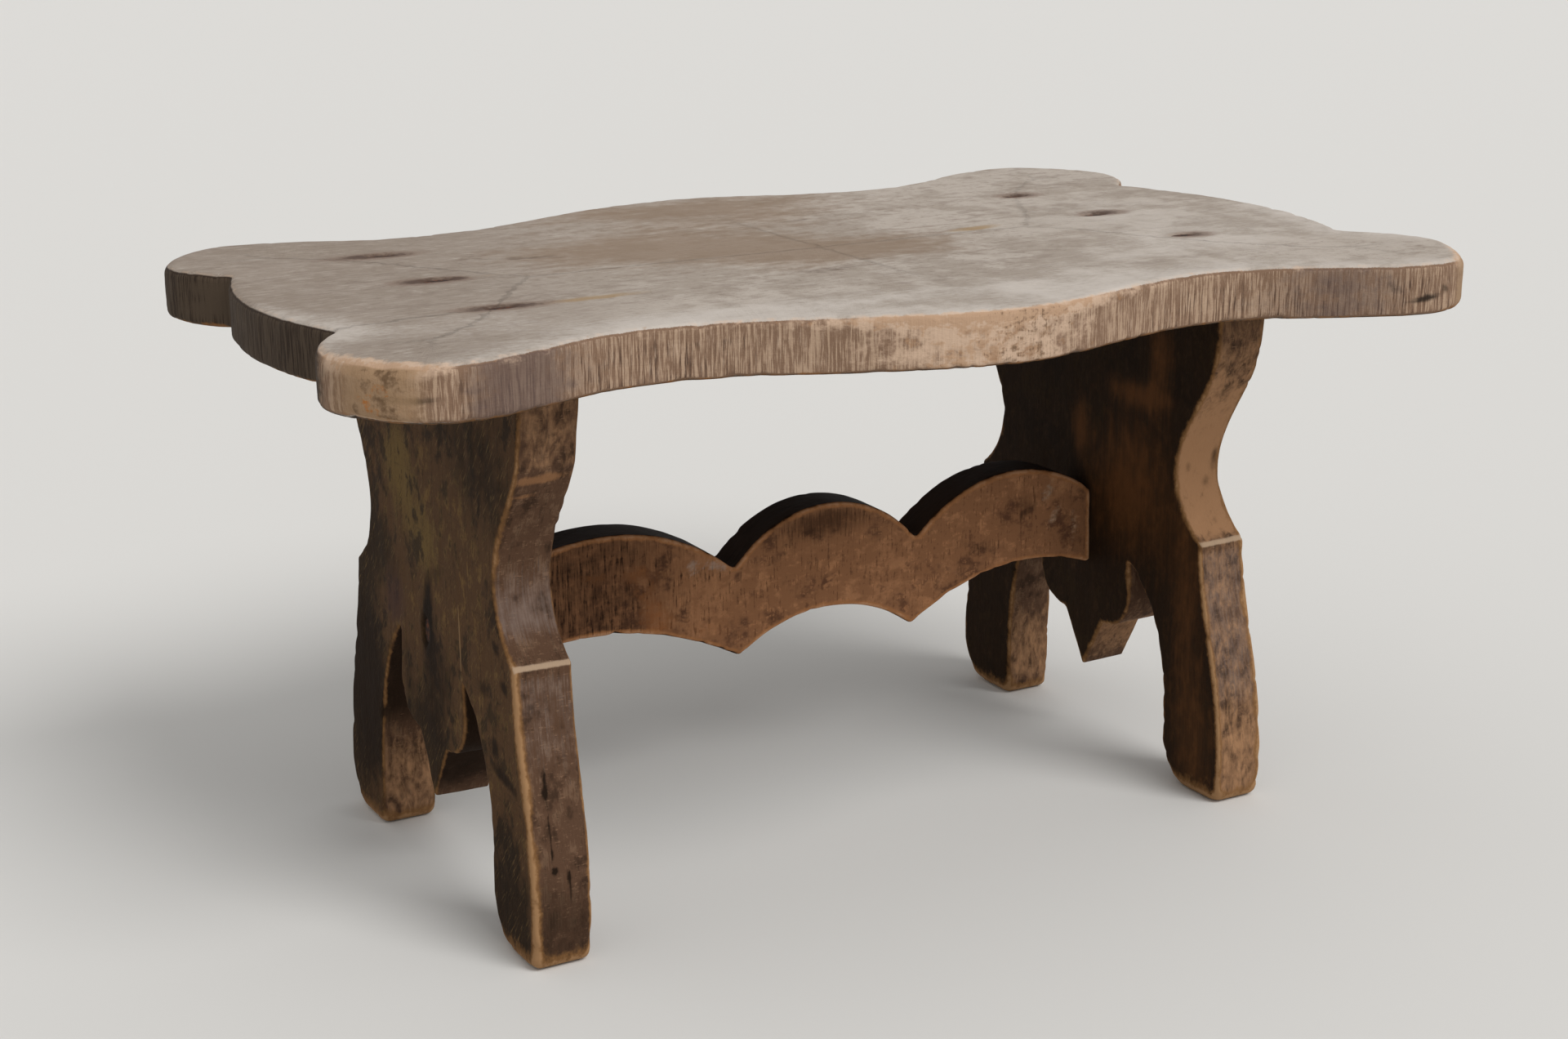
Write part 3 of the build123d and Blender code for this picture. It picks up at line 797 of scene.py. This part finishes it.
# The legs
def build_leg(side, hand):
    """A leg board, leaning outwards by the splay and cut level at both ends.

    side is -1 for the left board and 1 for the right one. Marks are placed by y, to the back, and
    z, up from the floor, so that both boards' marks read alike.
    """
    set_back, pit_depth, knee = 0.28, 1.5, 94
    line = worn_line(leg_line(side), step=1.0, softness=0.7)
    low_end = 1.6 * (1 - eased(line[:, 1], 2, 14))
    wears = [
        edge_wear(line, seed + side, base=1.6, uneven=0.5, nicks=90, nick_size=0.7) + low_end
        for seed in (21, 31)
    ]

    def place(own):
        u, v, w = own.T
        w = w + LEG_THICK / 2
        level = v + w * math.sin(SPLAY) * eased(v, 0, 15) * (1 - eased(v, 165, 181))
        x = LEG_INNER_FLOOR - level * math.tan(SPLAY) + w / math.cos(SPLAY)
        return np.column_stack([side * x, side * u, level])

    nail = (STRETCHER_BACK, STRETCHER_NAIL_HEIGHT)
    # Corners lie closer at the nail and along the hairline crack, whose marks are narrow
    split = [(-26, 80), (-26, 89), (-25.5, 98)]
    fine_spots = [(side * nail[0], nail[1], 9, 0.6)] + [(side * y, z, 4.5, 0.55) for y, z in split]
    board, at = saw_board(
        f"{hand}_leg_board", line, LEG_THICK, wears, spacing=1.3, wall_rows=17,
        set_in_place=place, fine_spots=fine_spots)
    y, z = side * at.u, at.v
    spot, outer = np.column_stack([y, z]), at.w > 0
    pit = near(spot, [(*nail, 3.4, 6, 0, 1)]) * outer
    rough = 0.2 * wander(at.own, (10, 30, 30), seed=43 + side, layers=3)
    rough += 0.09 * wander(at.own, (2.5, 7, 7), seed=44 + side)
    free = eased(z, 0, 6) * (1 - eased(z, 176, 182))
    carve(board, (rough - set_back) * free - pit_depth * eased(pit, 0.25, 0.9))

    # front is the narrow edge that looks forward, inside the walls of the arches and pendant
    left, wall, face = side < 0, at.wall, 1 - at.wall
    looks_front = eased(-side * at.out[:, 0], 0.3, 0.7) * eased(-y, 44, 52)
    front, inside = wall * looks_front, wall * (np.abs(y) < 52) * (z < 85)
    narrow = np.column_stack([at.w, z])
    below = 1 - eased(z, 90, 100)
    uneven = 1 + 0.45 * wander(at.own, (9, 9, 9), seed=47 + side)
    broader = (0.5 + 0.8 * below) * looks_front * (0.55 + 0.45 * np.sign(at.w))
    arris = bell(at.from_arris, (1.1 + 0.5 * (not left) + broader) * uneven)
    own_marks = {
        "olive": [(27, 140, 16, 16, 0, 0.7), (2, 116, 14, 14, 0, 0.7), (20, 125, 20, 25, 0, 0.4)],
        "grime": [(-15, 158, 22, 18, 0, 0.5), (-52, 148, 26, 24, 0, 0.8), (-62, 20, 22, 30, 0, 0.9),
                  (64, 50, 24, 46, 0, 1.1), (5, 52, 22, 22, 0, 0.7), (0, 178, 90, 10, 0, 0.6),
                  (64, 120, 16, 34, 0, 0.7), (40, 105, 24, 14, 20, 0.6), (-66, 8, 14, 12, 0, 0.5),
                  (76, 40, 14, 40, 0, 0.5), (0, 42, 20, 14, 0, 0.4)],
        "plum": [(32, 88, 14, 18, 0, 0.9), (-10, 60, 16, 20, 0, 0.4)],
        "dusk": [(-55, 97, 4, 2.5, 30, 0.9), (-61, 86, 4, 2.5, 20, 0.9), (-44, 81, 7, 4, 0, 0.7),
                 (-53, 64, 7, 4, 0, 0.7), (-61, 56, 12, 2.5, 8, 1), (-62, 20, 20, 20, 0, 0.5),
                 (42, 128, 14, 4, 30, 0.5), (nail[0] - 2, 88, 8, 16, 0, 0.6),
                 (-8, 108, 10, 4, -20, 0.5), (62, 48, 22, 40, 0, 1.05), (0, 58, 20, 22, 0, 0.6),
                 (22, 70, 8, 16, 0, 0.4), (-12, 76, 11, 15, 0, 0.45)],
    } if left else {
        "olive": [(-20, 120, 16, 30, 0, 0.6)],
        "grime": [(30, 150, 26, 24, 0, 0.8), (60, 30, 30, 30, 0, 0.8), (-40, 60, 20, 40, 0, 0.5)],
        "plum": [(-30, 88, 16, 24, 0, 0.7)],
        "dusk": [(20, 60, 20, 4, 10, 0.6), (nail[0], 88, 8, 16, 0, 0.6)],
    }
    marks = {key: face * outer * near(spot, given) for key, given in own_marks.items()}
    # Painted shade on the inner faces, partly also the darker patina of unhandled wood, and a
    # little on the walls that look back
    marks["dusk"] += face * ~outer * 0.85 + wall * (side * at.out[:, 0] > 0.5) * 0.15
    if left:
        # The front edge darker towards the floor, and painted shade in the arches and pendant,
        # deeper higher up
        marks["dusk"] += front * 0.6 * (1 - eased(z, 14, 52))
        marks["dusk"] += inside * (
            0.75 * eased(z, 22, 50) + near(spot, [(-14, 38, 16, 16, 0, 0.5)]))
        high_sheen, low_sheen = 0.75, 0.5 * eased(z, 40, 75)
        tan = 0.5 * eased(z, 152, 158)
    else:
        # Light painted shade in the arches, dark specks about the knee, and the front edge darker
        # at the top, under the seat
        marks["dusk"] += 0.15 * inside + front * near(narrow, [
            (-4, 118, 2.2, 3, 0, 0.5), (3, 112, 3, 3, 0, 0.45), (-2, 107, 2.4, 2.5, 0, 0.4),
            (7, 120, 2, 7, 0, 0.6), (2, 100, 2, 2, 0, 0.5), (0, 182, 30, 16, 0, 0.6)])
        high_sheen, low_sheen = 0.1, 0.62 * eased(z, 20, 45)
        tan = 0.65 - 0.2 * eased(z, 22, 45) + 0.55 * eased(z, 92, 98) - 0.45 * eased(z, 125, 165)
    dress(board, at, leg_wood, f"{hand}_leg", {
        **marks,
        "glow": face * ~outer * near(spot, [
            (-44, 158, 8, 15, 0, 0.7), (-32, 141, 18, 5, 0, 0.7), (3, 122, 6, 11, 0, 0.65),
            (-28, 106, 26, 28, 0, 0.8), (-62, 74, 12, 40, 0, 0.5), (-68, 20, 15, 28, 0, 0.55),
        ]) + 0.2 * face * ~outer,
        "sheen": front * (
            high_sheen * eased(z, 95, 106) * (1 - eased(z, 104, 136))
            + low_sheen * (1 - eased(z, 89, knee))),
        "warm": left * front * (near(narrow, [
            (7, 116, 2, 9, 0, 0.45), (2, 152.5, 12, 2, -4, 0.95), (5, 147, 7, 1.2, -6, 0.8),
            (6, 132, 3, 10, 0, 0.3)]) + 0.25 * eased(z, 148, 156)),
        "tan": front * tan + inside * near(spot, [
            (60, 18, 40, 24, 0, 0.7), (-45, 30, 20, 40, 0, 0.4),
            (-14, 42, 16, 20, 0, 0.1 if left else 0.75)]),
        "rub": arris * (0.9 + 0.3 * below * looks_front) + bell(z, 5),
        "cream": front * bell(z - knee, 1.3) * 1.1
        + 0.6 * bell(at.from_arris, 0.7) * looks_front * eased(z, 60, 90)
        * (1 - eased(z, 120, 150)),
        "stain": outer * face * near(spot, [
            (nail[0] - 1.5, 86, 6, 9, 0, 1), (nail[0] - 3.5, 99, 5, 11, 4, 0.75)])
        + front * left * near(narrow, [
            (2.9, 61, 0.9, 3, 0, 1.1), (3.1, 56, 1.1, 2, 0, 1.1), (2.8, 49, 0.45, 6, 0, 0.8),
            (2.5, 42, 0.45, 5, 0, 0.85), (2.6, 37, 0.9, 2.5, 0, 0.8), (2.2, 32, 1.5, 1.5, 0, 1.2),
            (-2.3, 30, 0.9, 3, 0, 0.9), (-2.6, 24, 0.7, 5, 0, 0.8), (-1, 40, 0.6, 5, 6, 0.5)]),
        "rust": outer * face * near(spot, [(nail[0] - 1, 87, 2.6, 5, 0, 0.85)]),
        "hairline": outer * face * left * near(spot, [(-26, 90, 0.6, 15, -3, 1.1)]),
    })


for side, hand in ((-1, "left"), (1, "right")):
    build_leg(side, hand)


# The stretcher
def build_stretcher():
    """The stretcher board, its ends standing plain against the legs."""
    set_back, end_from, end_to = 0.2, 117, 121
    line = worn_line(stretcher_line(), step=0.9, softness=1.3)
    square_end = eased(np.abs(line[:, 0]), end_from, end_to) * (np.abs(out_of(line)[:, 0]) > 0.9)
    wears = [
        edge_wear(line, seed, base=1.5, uneven=0.5, nicks=40, nick_size=0.8)
        * (1 - 0.5 * square_end)
        for seed in (51, 52)
    ]
    board, at = saw_board(
        "stretcher_board", line, STRETCHER_THICK, wears, spacing=1.1, wall_rows=13,
        set_in_place=lambda own: np.column_stack(
            [own[:, 0], STRETCHER_BACK - own[:, 2], own[:, 1]]),
    )
    rough = 0.2 * wander(at.own, (30, 10, 30), seed=53, layers=3)
    rough += 0.08 * wander(at.own, (6, 2.5, 6), seed=54)
    carve(board, (rough - set_back) * (1 - eased(np.abs(at.u), end_from, end_to)))
    face, spot = (1 - at.wall) * (at.w > 0), at.own[:, :2]
    left_part = 1 - eased(at.u, -85, -5)
    arris = bell(np.hypot(0.6 * at.reach, at.depth), 1.5)
    dress(board, at, stretcher_wood, "stretcher", {
        "grime": face * (0.68 * left_part + near(spot, [
            (91, 95, 6, 5, 0, 0.55), (70, 84, 16, 6, 0, 0.5), (86, 101, 20, 6, 0, 0.3),
            (48, 94, 14, 8, 0, 0.3), (6, 104, 26, 7, 0, 0.65), (-4, 92, 34, 14, 0, 0.3),
            (-80, 60, 26, 8, 0, 0.3), (30, 60, 20, 10, 0, 0.3), (119, 90, 3, 20, 0, 0.6),
        ])) + (at.w < 0) * 0.3,
        "warm": face * near(spot, [
            (-62, 80, 9, 16, 10, 1), (-95, 74, 14, 9, 0, 0.95), (-80, 96, 26, 6, 0, 0.75),
            (-40, 72, 16, 9, 0, 0.8), (40, 68, 18, 8, 0, 0.7), (10, 86, 14, 8, 0, 0.5),
            (98, 82, 14, 8, 0, 0.6)]),
        "rub": arris * (0.85 + 0.3 * wander(at.own, (12, 12, 12), seed=55)),
        "stain": face * (0.48 * left_part + near(spot, [(-39, 91, 12, 5, -10, 0.3)])),
        # The lifted chip near the first hump: pale, partly a painted highlight
        "flake": face * near(spot, [(-37, 94, 8, 3, -16, 0.75), (-47, 94, 3, 5, 10, 0.6)]),
        "pale": face * near(spot, [
            (101, 101, 6, 3, 70, 0.65), (104, 91, 6, 2.4, 60, 0.6), (113, 86, 2.5, 12, 0, 0.5)]),
    })


build_stretcher()


# Nails
for name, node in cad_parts.items():
    if "nail" in name:
        node.data.materials.clear()
        node.data.materials.append(nail_iron)


# Floor, light and camera
def build_studio():
    """A plain pale floor, a broad soft sun from the front right, an even sky and the camera.

    The sky lights the stool more weakly than the camera and mirroring surfaces see it.
    """
    far, sky_light, sky_seen = 30, 0.55, 1.0
    corners = [(-far, -far, 0), (far, -far, 0), (far, far, 0), (-far, far, 0)]
    floor_mesh = bpy.data.meshes.new("floor")
    floor_mesh.from_pydata(corners, [], [(0, 1, 2, 3)])
    floor = bpy.data.objects.new("floor", floor_mesh)
    bpy.context.scene.collection.objects.link(floor)
    # Matt backdrop paper: what the eye gets is a quiet light grey that holds the soft shadow
    paper, _, shader = new_material("pale_floor_paper")
    shader.inputs["Base Color"].default_value = plain_light("#D9D7D3")
    shader.inputs["Roughness"].default_value = 0.9
    floor_mesh.materials.append(paper)

    world = bpy.data.worlds.new("studio")
    bpy.context.scene.world = world
    world.use_nodes = True
    tree = world.node_tree
    tree.nodes.clear()
    path = add(tree, "ShaderNodeLightPath").node.outputs
    seen = add(tree, "ShaderNodeMath", {"operation": "MAXIMUM"}, {
        0: path["Is Camera Ray"], 1: path["Is Glossy Ray"]})
    seen = add(tree, "ShaderNodeMath", {"operation": "MAXIMUM"}, {
        0: seen, 1: path["Is Transmission Ray"]})
    level = add(tree, "ShaderNodeMapRange", None, {0: seen, 3: sky_light, 4: sky_seen})
    sky = add(tree, "ShaderNodeBackground", None, {
        "Color": plain_light("#FFFFFF"), "Strength": level})
    add(tree, "ShaderNodeOutputWorld", None, {"Surface": sky})

    lamp = bpy.data.lights.new("window", "SUN")
    lamp.angle, lamp.energy = math.radians(32), 1.9
    window = bpy.data.objects.new("window", lamp)
    towards_it = Vector((0.24, -0.64, 0.73))
    window.rotation_euler = towards_it.to_track_quat("Z", "Y").to_euler()
    bpy.context.scene.collection.objects.link(window)

    lens = bpy.data.cameras.new("camera")
    lens.lens, lens.sensor_width, lens.clip_start = 55.18, 36, 0.01
    camera = bpy.data.objects.new("camera", lens)
    camera.location = (-0.4008, -0.7018, 0.3380)
    camera.rotation_euler = [math.radians(turn) for turn in (73.85, 0.298, -29.306)]
    bpy.context.scene.collection.objects.link(camera)
    bpy.context.scene.camera = camera
    bpy.context.scene.view_settings.view_transform = "Standard"


build_studio()
